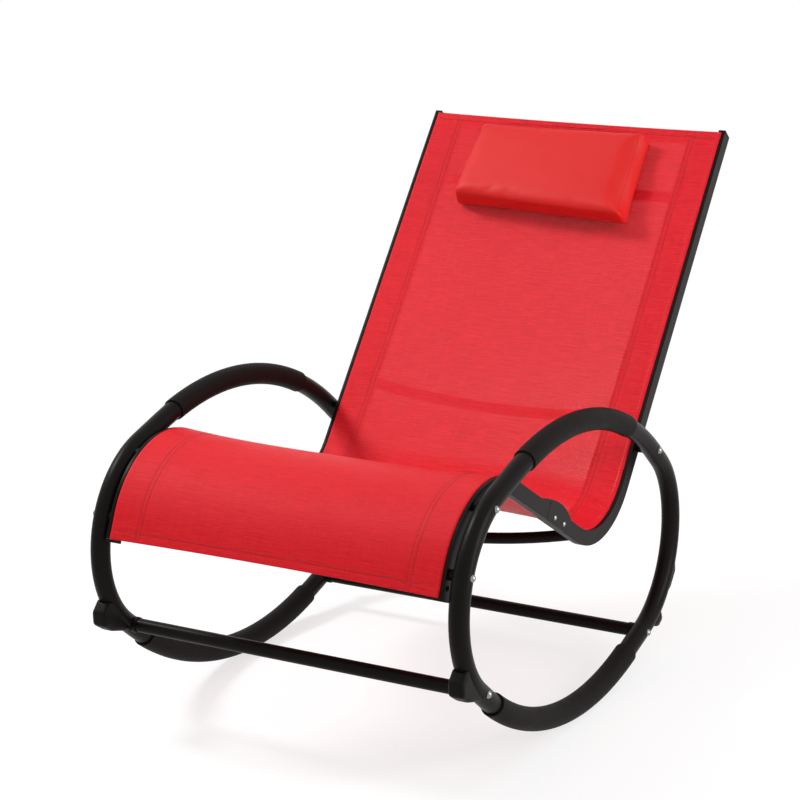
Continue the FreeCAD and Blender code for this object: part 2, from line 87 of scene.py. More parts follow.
# %% Shader maths
class Wire:
    def __init__(self, tree, socket=None):
        self.tree = tree
        self.socket = socket

    def node(self, kind, settings=None, inputs=None, output=0):
        made = self.tree.nodes.new(kind)
        for name, value in (settings or {}).items():
            if name == "stops":
                set_stops(made.color_ramp, value)
            else:
                setattr(made, name, value)
        for key, value in (inputs or {}).items():
            if isinstance(value, Wire):
                self.tree.links.new(value.socket, made.inputs[key])
            else:
                made.inputs[key].default_value = value
        return Wire(self.tree, made.outputs[output] if made.outputs else None)

    def math(self, operation, *values):
        return self.node("ShaderNodeMath", {"operation": operation}, dict(enumerate(values)))

    def __add__(self, other):
        return self.math("ADD", self, other)

    def __sub__(self, other):
        return self.math("SUBTRACT", self, other)

    def __mul__(self, other):
        return self.math("MULTIPLY", self, other)

    def __truediv__(self, other):
        return self.math("DIVIDE", self, other)

    def __mod__(self, other):
        return self.math("FLOORED_MODULO", self, other)

    def __rsub__(self, other):
        return self.math("SUBTRACT", other, self)

    def __rtruediv__(self, other):
        return self.math("DIVIDE", other, self)

    __radd__ = __add__
    __rmul__ = __mul__


def set_stops(ramp, stops):
    while len(ramp.elements) < len(stops):
        ramp.elements.new(1)
    for element, (place, colour) in zip(ramp.elements, stops):
        element.position = place
        element.color = colour


print("shader maths ready")

# %% [markdown]
# The finishes below share a few nodes, and each of those gets a short name: the shaded surface, a mix of
# two colours, noise, noise that is stretched one way, a grey ramp, and a bump that turns a height into a
# tilt of the surface. Writing the nodes out in full each time would hide what differs from finish to finish.


# %% Short names for nodes
def new_finish(name):
    material = bpy.data.materials.new(name)
    material.use_nodes = True
    material.node_tree.nodes.clear()
    return material, Wire(material.node_tree)


def surface(start, **inputs):
    """Principled surface on the material's output; input names are written with underscores."""
    named = {name.replace("_", " "): value for name, value in inputs.items()}
    shader = start.node("ShaderNodeBsdfPrincipled", None, named)
    start.node("ShaderNodeOutputMaterial", None, {"Surface": shader})


def mix_colour(start, factor, first, second):
    return start.node("ShaderNodeMix", {"data_type": "RGBA"}, {0: factor, 6: first, 7: second}, 2)


def noise(start, place, scale, detail=2.0, roughness=0.5):
    inputs = {"Vector": place, "Scale": scale, "Detail": detail, "Roughness": roughness}
    return start.node("ShaderNodeTexNoise", None, inputs)


def stretched(start, place, scale):
    """Place whose noise has scale cells to the metre along each axis."""
    inputs = {"Vector": place, "Scale": scale}
    return start.node("ShaderNodeMapping", None, inputs)


def grey(level):
    return (level, level, level, 1)


def ramp(start, factor, stops):
    shades = [(place, grey(level)) for place, level in stops]
    return start.node("ShaderNodeValToRGB", {"stops": shades}, {"Fac": factor})


def bump(start, height, strength, distance, normal=None):
    inputs = {"Height": height, "Strength": strength, "Distance": distance}
    if normal:
        inputs["Normal"] = normal
    return start.node("ShaderNodeBump", None, inputs)


def object_place(start):
    return start.node("ShaderNodeTexCoord", None, None, "Object")


print("shader helpers ready")

# %% [markdown]
# ## Hard finishes
#
# The tubes and rails are powder coated: a charcoal satin with a faint orange peel. The arm grips and
# rocker sleeves are closed foam rubber, duller and finely pitted. Each finish is noise at the right scale
# in the chair's own space, so it needs no unwrapping. A Bevel node softens the light on sharp edges, as
# paint does when it flows round them.


# %% Paint and foam rubber
def soft_edges(start, radius):
    return start.node("ShaderNodeBevel", {"samples": 6}, {"Radius": radius})


def powder_coat():
    material, start = new_finish("charcoal_powder_coat")
    place = object_place(start)
    cloudy = noise(start, place, scale=14.0, detail=3.0)
    peel = noise(start, place, scale=620.0)
    rubbed = noise(start, place, scale=60.0, detail=6.0, roughness=0.7)
    scuffs = ramp(start, rubbed, [(0.45, 0), (0.75, 1)])
    colour = mix_colour(start, cloudy, (0.0054, 0.0042, 0.0038, 1), (0.0090, 0.0070, 0.0062, 1))
    edges = soft_edges(start, radius=0.0011)
    normal = bump(start, peel, strength=0.10, distance=0.0004, normal=edges)
    surface(start, Base_Color=colour, Roughness=0.30 + 0.08 * cloudy + 0.06 * scuffs, Normal=normal,
            Specular_IOR_Level=0.06)
    return material


def foam_rubber():
    material, start = new_finish("black_foam_rubber")
    place = object_place(start)
    mottle = noise(start, place, scale=40.0, detail=4.0)
    pits = noise(start, place, scale=1100.0, detail=3.0, roughness=0.6)
    colour = mix_colour(start, mottle, (0.0046, 0.0034, 0.0030, 1), (0.0084, 0.0062, 0.0054, 1))
    edges = soft_edges(start, radius=0.0012)
    normal = bump(start, pits, strength=0.35, distance=0.0005, normal=edges)
    surface(start, Base_Color=colour, Roughness=0.52 + 0.18 * mottle, Normal=normal, Specular_IOR_Level=0.07)
    return material


POWDER_COAT = powder_coat()
FOAM_RUBBER = foam_rubber()
print("made:", POWDER_COAT.name, FOAM_RUBBER.name)

# %% [markdown]
# The blocks, caps and spacers are moulded plastic with a spark-eroded grain, and the bolts, nuts and splice
# screws are bright steel. The tape that holds the pillow is a dull pile of tiny hooks and loops, too small
# to model one by one, so a strong bump stands for them.


# %% Plastic, steel and tape
def moulded_plastic():
    material, start = new_finish("black_moulded_plastic")
    place = object_place(start)
    grain = noise(start, place, scale=1500.0, roughness=0.6)
    flow = noise(start, place, scale=25.0, detail=3.0)
    colour = mix_colour(start, flow, (0.0040, 0.0034, 0.0031, 1), (0.0066, 0.0057, 0.0051, 1))
    edges = soft_edges(start, radius=0.0022)
    normal = bump(start, grain, strength=0.18, distance=0.0003, normal=edges)
    surface(start, Base_Color=colour, Roughness=0.38 + 0.14 * flow, Normal=normal, Specular_IOR_Level=0.07)
    return material


def bright_steel():
    material, start = new_finish("bright_steel")
    place = object_place(start)
    wear = noise(start, place, scale=900.0, detail=3.0)
    colour = mix_colour(start, wear, (0.20, 0.20, 0.205, 1), (0.34, 0.335, 0.33, 1))
    edges = soft_edges(start, radius=0.0004)
    normal = bump(start, wear, strength=0.06, distance=0.0002, normal=edges)
    surface(start, Base_Color=colour, Metallic=1.0, Roughness=0.14 + 0.16 * wear, Normal=normal)
    return material


def hook_tape():
    material, start = new_finish("black_hook_tape")
    loops = noise(start, object_place(start), scale=1400.0, roughness=0.7)
    colour = mix_colour(start, loops, (0.008, 0.008, 0.008, 1), (0.03, 0.028, 0.028, 1))
    normal = bump(start, loops, strength=0.8, distance=0.0008)
    surface(start, Base_Color=colour, Roughness=0.95, Normal=normal)
    return material


MOULDED_PLASTIC = moulded_plastic()
BRIGHT_STEEL = bright_steel()
HOOK_TAPE = hook_tape()
print("made:", MOULDED_PLASTIC.name, BRIGHT_STEEL.name, HOOK_TAPE.name)

# %% [markdown]
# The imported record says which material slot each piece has. Going by the slots gives every bolt, cap and tube
# its finish without a list of names.

# %% Finishes on the pieces
HARD_FINISHES = {
    "frame_paint": POWDER_COAT,
    "soft_grip": FOAM_RUBBER,
    "black_plastic": MOULDED_PLASTIC,
    "bright_steel": BRIGHT_STEEL,
    "hook_tape": HOOK_TAPE,
}
for part in frame["record"]["subparts"]:
    finish = HARD_FINISHES.get(part["material_slot"])
    if finish:
        for slot in frame["nodes"][part["node"]].material_slots:
            slot.material = finish
print("hard finishes:", ", ".join(HARD_FINISHES))

# %% [markdown]
# The stops at the hoops' ends are thick mouldings with well rounded edges. Rounding every edge of such a
# wedge by itself is slow and fails where it meets the round tube. Here a copy of each stop is remade from
# small even cells, and smoothing wears its edges round while its faces stay where they are.

# %% Rounded stops
STOP_CELL = 0.0014
STOP_WEAR = 24


def apply_modifiers(piece):
    shaped = bpy.data.meshes.new_from_object(piece.evaluated_get(bpy.context.evaluated_depsgraph_get()))
    piece.modifiers.clear()
    piece.data = shaped


def rounded_stop(node):
    piece = bpy.data.objects.new(node + "_moulding", frame["nodes"][node].data.copy())
    scene.collection.objects.link(piece)
    cells = piece.modifiers.new("even_cells", "REMESH")
    cells.mode = "VOXEL"
    cells.voxel_size = STOP_CELL
    wear = piece.modifiers.new("worn_edges", "SMOOTH")
    wear.iterations = STOP_WEAR
    apply_modifiers(piece)
    piece.data.shade_smooth()
    piece.data.materials.clear()
    piece.data.materials.append(MOULDED_PLASTIC)
    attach(piece, "chair")
    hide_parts(node)
    return piece


for end in ("front", "rear"):
    stops = [rounded_stop(f"{end}_stop_{side}") for side in ("left", "right")]
    print(end, "stops:", [len(stop.data.polygons) for stop in stops], "faces")

# %% [markdown]
# ## Red cloths
#
# The sling is an open weave of coated yarn, about 1.2 mm from yarn to yarn. Seen from a distance it
# shows faint streaks across the chair, because the yarns that run across differ a little in colour.
# The weave is drawn from the cloth's own coordinates, in metres across and along, which the mesh carries
# as a UV map. Little holes between the yarns let some light through, on the back more than on the seat,
# where the yarns are pulled together. On the seat the red is painted darker, as painted shade.

# %% Red mesh
YARN_PITCH = 0.0012
SEAT_OPENNESS = 0.12
BACK_OPENNESS = 0.95
# Where along the line the holes open up and the seat's painted shade fades out.
OPENING_AND_SHADE_ALONG = (0.45, 0.75)
# Painted shade: how much darker the seat's red is painted than the back's.
SEAT_PAINTED_SHADE = 0.28
CLOTH_UV = "cloth_metres"


def weave(start, place, pitch):
    """Height of a plain weave from 0 between the yarns to 1 on top of them."""
    inputs = {"Vector": place}
    across = start.node("ShaderNodeSeparateXYZ", None, inputs, 0) / pitch
    along = start.node("ShaderNodeSeparateXYZ", None, inputs, 1) / pitch
    over = (start.math("FLOOR", across) + start.math("FLOOR", along)) % 2
    warp = start.math("SINE", math.pi * (across % 1))
    weft = start.math("SINE", math.pi * (along % 1))
    return over * warp + (1 - over) * weft, warp, weft


def red_mesh():
    material, start = new_finish("red_sling_mesh")
    place = start.node("ShaderNodeUVMap", {"uv_map": CLOTH_UV})
    height, warp, weft = weave(start, place, YARN_PITCH)
    long_streaks = noise(start, stretched(start, place, (22.0, 480.0, 1.0)), scale=1.0)
    short_streaks = noise(start, stretched(start, place, (75.0, 1000.0, 1.0)), scale=1.0)
    broad = noise(start, stretched(start, place, (3.0, 7.0, 1.0)), scale=1.0)
    warp_streaks = noise(start, stretched(start, place, (520.0, 12.0, 1.0)), scale=1.0)
    mixed = 0.42 * long_streaks + 0.38 * short_streaks + 0.20 * warp_streaks
    streaks = ramp(start, mixed, [(0.36, 0), (0.64, 1)])
    shade = mix_colour(start, streaks, (0.640, 0.0040, 0.0085, 1), (0.970, 0.0190, 0.0380, 1))
    shade = mix_colour(start, 0.20 * broad, shade, (0.815, 0.0100, 0.0200, 1))
    # Painted shade: the hollows between the yarns are painted darker.
    colour = mix_colour(start, 0.30 * (1 - height), shade, (0.560, 0.0060, 0.0110, 1))
    holes = ramp(start, (1 - warp) * (1 - weft), [(0.10, 0), (0.40, 1)])
    along = start.node("ShaderNodeSeparateXYZ", None, {"Vector": place}, 1)
    opening_and_unshaded = start.node("ShaderNodeMapRange", {"interpolation_type": "SMOOTHSTEP"},
                         {"Value": along, "From Min": OPENING_AND_SHADE_ALONG[0], "From Max": OPENING_AND_SHADE_ALONG[1]})
    # Painted shade: the seat's red is painted darker, fading out up the back.
    colour = mix_colour(start, SEAT_PAINTED_SHADE * (1 - opening_and_unshaded), colour, (0.480, 0.0010, 0.0010, 1))
    openness = SEAT_OPENNESS + (BACK_OPENNESS - SEAT_OPENNESS) * opening_and_unshaded
    normal = bump(start, height, strength=0.40, distance=0.0004)
    surface(start, Base_Color=colour, Roughness=0.47 - 0.08 * streaks, Alpha=1 - openness * holes,
            Normal=normal, Specular_IOR_Level=0.14)
    return material


RED_MESH = red_mesh()
print("made:", RED_MESH.name, "with a yarn every", 1000 * YARN_PITCH, "mm")

# %% [markdown]
# The pillow cover is a close, smooth cloth with a faint grain across. The sewing thread is the same red,
# darker, and its twist is finer than anything else on the chair.


# %% Pillow cloth and thread
def red_cover():
    material, start = new_finish("red_pillow_cover")
    place = object_place(start)
    broad = noise(start, place, scale=22.0, detail=3.0)
    fine = noise(start, stretched(start, place, (110.0, 1000.0, 1000.0)), scale=1.0)
    shade = mix_colour(start, broad, (0.620, 0.0105, 0.0090, 1), (0.670, 0.0155, 0.0140, 1))
    colour = mix_colour(start, 0.22 * fine, shade, (0.500, 0.0070, 0.0060, 1))
    normal = bump(start, fine, strength=0.20, distance=0.0003)
    surface(start, Base_Color=colour, Roughness=0.48 + 0.10 * fine, Normal=normal, Specular_IOR_Level=0.25)
    return material


def red_thread():
    material, start = new_finish("red_thread")
    twist = noise(start, object_place(start), scale=2500.0)
    colour = mix_colour(start, twist, (0.230, 0.0030, 0.0042, 1), (0.330, 0.0060, 0.0076, 1))
    normal = bump(start, twist, strength=0.4, distance=0.0002)
    surface(start, Base_Color=colour, Roughness=0.55, Normal=normal)
    return material


RED_COVER = red_cover()
RED_THREAD = red_thread()
print("made:", RED_COVER.name, RED_THREAD.name)

# %% [markdown]
# ## The line that the cloth follows
#
# Seen from the side, the rails' upper face is a chain of straight runs and round bends: front flap,
# knee, seat, hip and back. Every point of the sling is found from three numbers: how far across it is,
# how far along that line, and how high off it.

# %% The sling's line
LINE_START = Vector((0, -0.52575, 0.31548))
LINE_HEADING = 67.71
LINE_MOVES = [(0.0364, 0, 0), (0, 0.1527, -97.86), (0.2772, 0, 0), (0, 0.1239, 82.03), (0.650, 0, 0)]


def ahead(heading):
    angle = math.radians(heading)
    return Vector((0, math.cos(angle), math.sin(angle)))


def line_stretches():
    stretches = []
    start, heading, along = LINE_START, LINE_HEADING, 0.0
    for length, radius, turn in LINE_MOVES:
        travel = length + radius * math.radians(abs(turn))
        stretches.append((along, travel, start, heading, radius, turn))
        hand = math.copysign(1, turn)
        if radius:
            centre = start + ahead(heading + 90) * (hand * radius)
            start = centre - ahead(heading + turn + 90) * (hand * radius)
        else:
            start = start + ahead(heading) * length
        heading += turn
        along += travel
    return stretches, along


STRETCHES, LINE_LENGTH = line_stretches()
KNEE_ALONG = STRETCHES[1][0] + STRETCHES[1][1] / 2
HIP_ALONG = STRETCHES[3][0] + STRETCHES[3][1] / 2
BACK_ALONG = STRETCHES[4][0]


def on_line(along):
    """Point on the line and the heading there; past either end the line goes straight on."""
    for first, travel, start, heading, radius, turn in STRETCHES:
        if along <= first + travel or first == BACK_ALONG:
            break
    gone = along - first
    if not radius:
        return start + ahead(heading) * gone, heading
    hand = math.copysign(1, turn)
    turned = turn * gone / travel
    centre = start + ahead(heading + 90) * (hand * radius)
    return centre - ahead(heading + turned + 90) * (hand * radius), heading + turned


def cloth_point(across, along, lift):
    point, heading = on_line(along)
    return point + ahead(heading + 90) * lift + Vector((across, 0, 0))


print(f"line of {LINE_LENGTH:.3f} m, with its knee at {KNEE_ALONG:.3f} and its hip at {HIP_ALONG:.3f}")

# %% [markdown]
# ## The sling
#
# A sheet pulled tight between two curved rails can't lie on both curves at once. Over the knee it dips
# between the rails, and in the hip it lifts off the valley. The dips are set at a few places along the
# line and eased between them. The front and top edges are folded under and sewn, so the rows of the grid
# start under the front edge, go round the fold, up the whole chair, and end under the top edge. Columns
# and rows crowd together at the stitch lines, where the thread pulls a little groove.

# %% The sling's shape
SEAT_HALF = 0.2743
BACK_HALF = 0.2702
SEAM_ALONG = 0.4312
SEAM_EASE = 0.015
CLOTH_LIFT = 0.0007
DIPS = [(0.0, -0.002), (KNEE_ALONG, -0.0095), (SEAM_ALONG, -0.004), (HIP_ALONG, 0.013),
        (BACK_ALONG + 0.12, 0.0), (BACK_ALONG + 0.35, -0.003), (LINE_LENGTH, -0.0005)]
FRONT_EDGE_RISE = 0.003
TOP_EDGE_DROP = 0.002
SIDE_STITCHES = (0.0455, 0.0525)
FRONT_STITCH = 0.013
TOP_STITCH = 0.0115
GROOVE_DEPTH = 0.0004
GROOVE_WIDTH = 0.0014


def eased(low, high, value):
    share = min(max((value - low) / (high - low), 0), 1)
    return share * share * (3 - 2 * share)


def half_width(along):
    """Half the sling's width: wider on the seat rails than on the back rails, with the step at the splice."""
    return SEAT_HALF + (BACK_HALF - SEAT_HALF) * eased(SEAM_ALONG - SEAM_EASE, SEAM_ALONG + SEAM_EASE, along)


def dip(along):
    for (low, first), (high, last) in zip(DIPS, DIPS[1:]):
        if along <= high:
            return first + (last - first) * eased(low, high, along)
    return DIPS[-1][1]


def groove(distance):
    return GROOVE_DEPTH * math.exp(-(distance / GROOVE_WIDTH) ** 2)


def sling_lift(share, along):
    """Height of the cloth over the line; share runs from -1 at one rail's slot to 1 at the other's."""
    inside = (1 - abs(share)) * half_width(along)
    lift = CLOTH_LIFT + dip(along) * (1 - abs(share) ** 3)
    lift -= sum(groove(inside - stitch) for stitch in SIDE_STITCHES)
    lift -= groove(along - FRONT_STITCH) + groove(LINE_LENGTH - along - TOP_STITCH)
    return lift


def sling_along(share, along):
    """The free edges curve in a little between the rails; the rest of the cloth follows them."""
    bow = 1 - share * share
    progress = along / LINE_LENGTH
    return along + bow * (FRONT_EDGE_RISE * (1 - progress) - TOP_EDGE_DROP * progress)


def sling_point(share, along, sink=0.0):
    along = sling_along(share, along)
    return cloth_point(share * half_width(along), along, sling_lift(share, along) - sink)


print(f"over the knee the cloth lies {1000 * dip(KNEE_ALONG):.1f} mm off the line, "
      f"in the hip {1000 * dip(HIP_ALONG):.1f} mm")

# %% [markdown]
# A plane that is subdivided and then bent would have its rows where Blender puts them. Building the grid
# from rows of points puts them where the cloth needs them, and each point keeps its place on the flat cloth,
# which becomes the UV map.

# %% Grids of cloth
SLOT_EDGE = 0.0013
COLUMN_STEP = 0.028
LAST_EVEN_COLUMN = 0.985
COLUMNS_AT_STITCH = (0.016, 9)
ROW_STEP = 0.007
ROW_MARGIN = 0.002
ROWS_AT_STITCH = (0.005, 9)


def grid_mesh(name, rows):
    """Mesh of quads from rows of (point, (across, along)), with the cloth's own metres as its UV map."""
    width = len(rows[0])
    points = [point for row in rows for point, place in row]
    places = [place for row in rows for point, place in row]
    quads = []
    for r in range(len(rows) - 1):
        for c in range(width - 1):
            corner = r * width + c
            quads.append((corner, corner + 1, corner + width + 1, corner + width))
    mesh = bpy.data.meshes.new(name)
    mesh.from_pydata(points, [], quads)
    layer = mesh.uv_layers.new(name=CLOTH_UV)
    for loop in mesh.loops:
        layer.data[loop.index].uv = places[loop.vertex_index]
    mesh.shade_smooth()
    return mesh


def add_piece(name, mesh, material, body="chair"):
    piece = bpy.data.objects.new(name, mesh)
    scene.collection.objects.link(piece)
    mesh.materials.append(material)
    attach(piece, body)
    return piece


def thicken(piece, thickness):
    solid = piece.modifiers.new("thickness", "SOLIDIFY")
    solid.thickness = thickness
    solid.offset = 0
    solid.use_even_offset = True


def spread(low, high, step):
    return list(np.linspace(low, high, max(2, round((high - low) / step) + 1)))


def around(places, reach, count):
    """A number of places on both sides of each given place."""
    return [place + offset for place in places for offset in np.linspace(-reach, reach, count)]


def share_columns():
    """Places across the sling as shares, close together at the slots and the side stitches."""
    inner = [1 - stitch / SEAT_HALF for stitch in SIDE_STITCHES]
    even = spread(0, LAST_EVEN_COLUMN, COLUMN_STEP)
    columns = set(even) | set(around(inner, *COLUMNS_AT_STITCH)) | {1 - SLOT_EDGE / SEAT_HALF, 1.0}
    tidy = sorted(round(column, 4) for column in columns if column <= 1)
    return [-column for column in reversed(tidy) if column > 0] + tidy


def along_rows():
    ends = (FRONT_STITCH, LINE_LENGTH - TOP_STITCH)
    even = spread(ROW_MARGIN, LINE_LENGTH - ROW_MARGIN, ROW_STEP)
    rows = set(even) | set(around(ends, *ROWS_AT_STITCH))
    return sorted(round(row, 5) for row in rows)


COLUMNS = share_columns()
ROWS = along_rows()
print(f"sling grid: {len(COLUMNS)} columns by {len(ROWS)} rows")

# %% [markdown]
# One grid is the whole sheet, hems included. At both slots its last column drops into the rail. A Solidify
# modifier gives it the thickness of the cloth, half to each side, so that the grid stays in the middle.

# %% The sling's sheet
CLOTH_THICKNESS = 0.0007
SLOT_DROP = 0.0026
HEM_DEPTH = 0.0255
HEM_ROWS = (HEM_DEPTH, 0.016, 0.008, 0.0015)
FOLD_RADIUS = 0.0006
FOLD_STEPS = 5
FOLD_START = 0.2
HEM_WEAVE_SHIFT = 4


def fold_rows(edge, inward):
    """Rows from under the hem round the fold: pairs of place along the line and sink below the cloth."""
    under = [(edge + inward * depth, 2 * FOLD_RADIUS) for depth in HEM_ROWS]
    turn = [(edge - inward * FOLD_RADIUS * math.sin(angle), FOLD_RADIUS * (1 + math.cos(angle)))
            for angle in np.linspace(FOLD_START, math.pi - FOLD_START, FOLD_STEPS)]
    return under + turn


def sling_sheet():
    start = fold_rows(0.0, 1)
    finish = list(reversed(fold_rows(LINE_LENGTH, -1)))
    rows = []
    for along, sink in start + [(row, 0.0) for row in ROWS] + finish:
        row = []
        for share in COLUMNS:
            at_slot = SLOT_DROP if abs(share) == 1 else 0.0
            point = sling_point(share, along, sink + at_slot)
            row.append((point, (share * SEAT_HALF, along - HEM_WEAVE_SHIFT * sink)))
        rows.append(row)
    return grid_mesh("sling_sheet", rows)


sling = add_piece("sling_sheet", sling_sheet(), RED_MESH)
thicken(sling, CLOTH_THICKNESS)
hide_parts("sling")
print("sling sheet:", len(sling.data.polygons), "faces")

# %% [markdown]
# The side edges are folded under too: the fold holds the rod in the rail's slot, and its raw edge is
# sewn down by the double row of stitches. Under the mesh this second layer makes the sides look denser
# than the middle. It is a strip of the same cloth just below the sheet.

# %% Side hems
HEM_GAP = 0.0009
HEM_START = 0.0075
HEM_WIDTH = 0.0575
HEM_STEP = 0.005


def side_hem(name, side):
    rows = []
    for along in ROWS:
        half = half_width(along)
        shares = [side * (1 - depth / half) for depth in spread(HEM_START, HEM_WIDTH, HEM_STEP)]
        rows.append([(sling_point(share, along, HEM_GAP), (share * SEAT_HALF, along)) for share in shares])
    piece = add_piece(name, grid_mesh(name, rows), RED_MESH)
    thicken(piece, CLOTH_THICKNESS)
    return piece


side_hems = [side_hem("side_hem_left", 1), side_hem("side_hem_right", -1)]
print("side hems:", [piece.name for piece in side_hems])

# %% [markdown]
# ## Stitches
#
# A sewn line is a row of short raised threads with a gap where the thread dives through the cloth.
# Each stitch here is a small capsule laid on the sling's surface, and straight, because it is so short.
# A capsule is a row of rings: each has a place along the stitch and a share of the full girth.

# %% One stitch
STITCH_PITCH = 0.0046
STITCH_LENGTH = 0.0036
STITCH_RADIUS = 0.0005
STITCH_SIDES = 6
STITCH_RINGS = [(0.0, 0.35), (0.12, 0.8), (0.3, 1.0), (0.7, 1.0), (0.88, 0.8), (1.0, 0.35)]
STITCH_SINK = 0.75


def add_stitch(points, quads, first, last, up):
    """Adds a capsule from first to last, its ends sunk in the cloth, to the points and faces."""
    axis = (last - first).normalized()
    side = axis.cross(up).normalized()
    base = len(points)
    for share, girth in STITCH_RINGS:
        centre = first.lerp(last, share) + up * (STITCH_RADIUS * (girth - STITCH_SINK))
        for step in range(STITCH_SIDES):
            angle = 2 * math.pi * step / STITCH_SIDES
            points.append(centre + (side * math.cos(angle) + up * math.sin(angle)) * (STITCH_RADIUS * girth))
    for ring in range(len(STITCH_RINGS) - 1):
        for step in range(STITCH_SIDES):
            here = base + ring * STITCH_SIDES + step
            there = base + ring * STITCH_SIDES + (step + 1) % STITCH_SIDES
            quads.append((here, there, there + STITCH_SIDES, here + STITCH_SIDES))
    quads.append(tuple(base + step for step in reversed(range(STITCH_SIDES))))
    last_ring = base + (len(STITCH_RINGS) - 1) * STITCH_SIDES
    quads.append(tuple(last_ring + step for step in range(STITCH_SIDES)))


print(f"stitches of {1000 * STITCH_LENGTH:.1f} mm, one every {1000 * STITCH_PITCH:.1f} mm")

# %% [markdown]
# Two rows hold each side hem, and one row holds the hem at each end. One mesh holds all the stitches of a
# row, because hundreds of small objects would be slow to handle.

# %% Sewn lines
END_MARGIN = 0.008


def stitched_line(name, place, length):
    """Stitches along a curve; place gives a point and the cloth's outward direction at a distance."""
    points, quads = [], []
    for number in range(int(length / STITCH_PITCH)):
        begin = number * STITCH_PITCH
        first, up = place(begin)
        last, up = place(begin + STITCH_LENGTH)
        add_stitch(points, quads, first, last, up)
    mesh = bpy.data.meshes.new(name)
    mesh.from_pydata(points, [], quads)
    mesh.shade_smooth()
    return add_piece(name, mesh, RED_THREAD)


def sling_up(along):
    return ahead(on_line(along)[1] + 90)


def side_line(side, inside):
    def place(distance):
        along = distance + STITCH_PITCH
        share = side * (1 - inside / half_width(along))
        return sling_point(share, along, -CLOTH_THICKNESS / 2), sling_up(along)
    return place


def end_line(along):
    half = half_width(along) - END_MARGIN

    def place(distance):
        share = (distance - half) / half_width(along)
        return sling_point(share, along, -CLOTH_THICKNESS / 2), sling_up(along)
    return place


for side, word in ((1, "left"), (-1, "right")):
    for inside, which in zip(SIDE_STITCHES, ("outer", "inner")):
        line = side_line(side, inside)
        stitched_line(f"{word}_{which}_stitches", line, LINE_LENGTH - END_MARGIN)
for along, word in ((FRONT_STITCH, "front"), (LINE_LENGTH - TOP_STITCH, "top")):
    width = 2 * half_width(along) - 2 * END_MARGIN
    stitched_line(f"{word}_hem_stitches", end_line(along), width)

SLING_FLAT = (2 * SEAT_HALF, LINE_LENGTH + 2 * HEM_DEPTH)

# %% [markdown]
# ## The pillow
#
# The head pillow is a sewn box of smooth cloth, stuffed with fibre. Its faces swell, its edges pull in
# between the corners, and the corners stay pinched, because the seams there can't stretch. Cloth
# simulation gives exactly that: a slightly small box is blown up by a gentle pressure from inside.

# %% The pillow's box
PILLOW_SIZE = (0.324, 0.169, 0.043)
PILLOW_EDGE = 0.008
PILLOW_FOOT = 0.0018
PILLOW_VOXEL = 0.0045


def pillow_box():
    """Box with rounded edges, lying on the back: across, up the back, off the back."""
    width, height, depth = PILLOW_SIZE
    made = bmesh.new()
    bmesh.ops.create_cube(made, size=1.0)
    bmesh.ops.scale(made, vec=(width, height, depth), verts=made.verts)
    bmesh.ops.translate(made, vec=(0, 0, PILLOW_FOOT + depth / 2), verts=made.verts)
    bmesh.ops.bevel(made, geom=made.edges[:], offset=PILLOW_EDGE, segments=3, profile=0.5, affect="EDGES")
    mesh = bpy.data.meshes.new("head_pillow")
    made.to_mesh(mesh)
    made.free()
    return mesh


def even_mesh(piece):
    remesh = piece.modifiers.new("even_mesh", "REMESH")
    remesh.mode = "VOXEL"
    remesh.voxel_size = PILLOW_VOXEL
    apply_modifiers(piece)


pillow = bpy.data.objects.new("head_pillow_cover", pillow_box())
scene.collection.objects.link(pillow)
even_mesh(pillow)
print("pillow box:", [round(1000 * side) for side in PILLOW_SIZE], "mm")

# %% [markdown]
# A soft pillow is never quite square. Each of its corners is moved a little and gets its own share of the
# depth, the front bulges between them and sags, and one end is pulled in by its seam. Setting this on the
# box's points is steadier than pulling at corners while the cloth is simulated.

# %% The pillow's corners
PILLOW_CROWN = 0.005
PILLOW_SAG = 0.005
PILLOW_END_PULL = 0.024
PILLOW_TOE = (-0.013, -0.006)
PILLOW_CORNERS = {(-1, -1): (0.011, 0.006, 1.16), (1, -1): (0.009, -0.003, 1.12),
                  (-1, 1): (0.005, -0.010, 0.50), (1, 1): (0.0, -0.002, 0.80)}


def points_of(mesh):
    return np.array([vertex.co for vertex in mesh.vertices])


def set_points(mesh, points):
    mesh.vertices.foreach_set("co", points.astype(np.float32).ravel())
    mesh.update()


def set_corners(piece):
    """Moves the corners, sets their depth, crowns the front, lets it sag, pulls one end in."""
    points = points_of(piece.data)
    across = points[:, 0] / PILLOW_SIZE[0]
    up = points[:, 1] / PILLOW_SIZE[1]
    off = points[:, 2] - PILLOW_FOOT
    moved = np.zeros_like(points)
    for (side, end), corner in PILLOW_CORNERS.items():
        moved += np.outer((0.5 + side * across) * (0.5 + end * up), corner)
    points[:, :2] += moved[:, :2]
    deep = off / PILLOW_SIZE[2]
    points[:, :2] += np.outer((0.5 - across) * (0.5 - up) * (1 - deep), PILLOW_TOE)
    points[:, 0] -= PILLOW_END_PULL * (0.5 + across) * (1 - (2 * up) ** 4) * deep * deep
    points[:, 1] -= PILLOW_SAG * (0.5 - up) * (1 - 4 * across * across) * deep
    crown = PILLOW_CROWN * (1 - 4 * across * across) * (1 - 4 * up * up)
    points[:, 2] = PILLOW_FOOT + off * moved[:, 2] + crown * deep
    set_points(piece.data, points)


set_corners(pillow)
corner_depths = [round(1000 * PILLOW_SIZE[2] * share) for across, up, share in PILLOW_CORNERS.values()]
print("depth at the corners:", corner_depths, "mm")

# %% [markdown]
# A gentle pressure from inside rounds the faces as stuffing does. How far a point may go is capped, so that
# the pillow keeps its size, and a little smoothing takes out the ripples of the simulation.

# %% Stuffing the pillow
PILLOW_PRESSURE = 4.0
PILLOW_FRAMES = 20
PILLOW_CAP = 0.003
PILLOW_SMOOTHING = 2


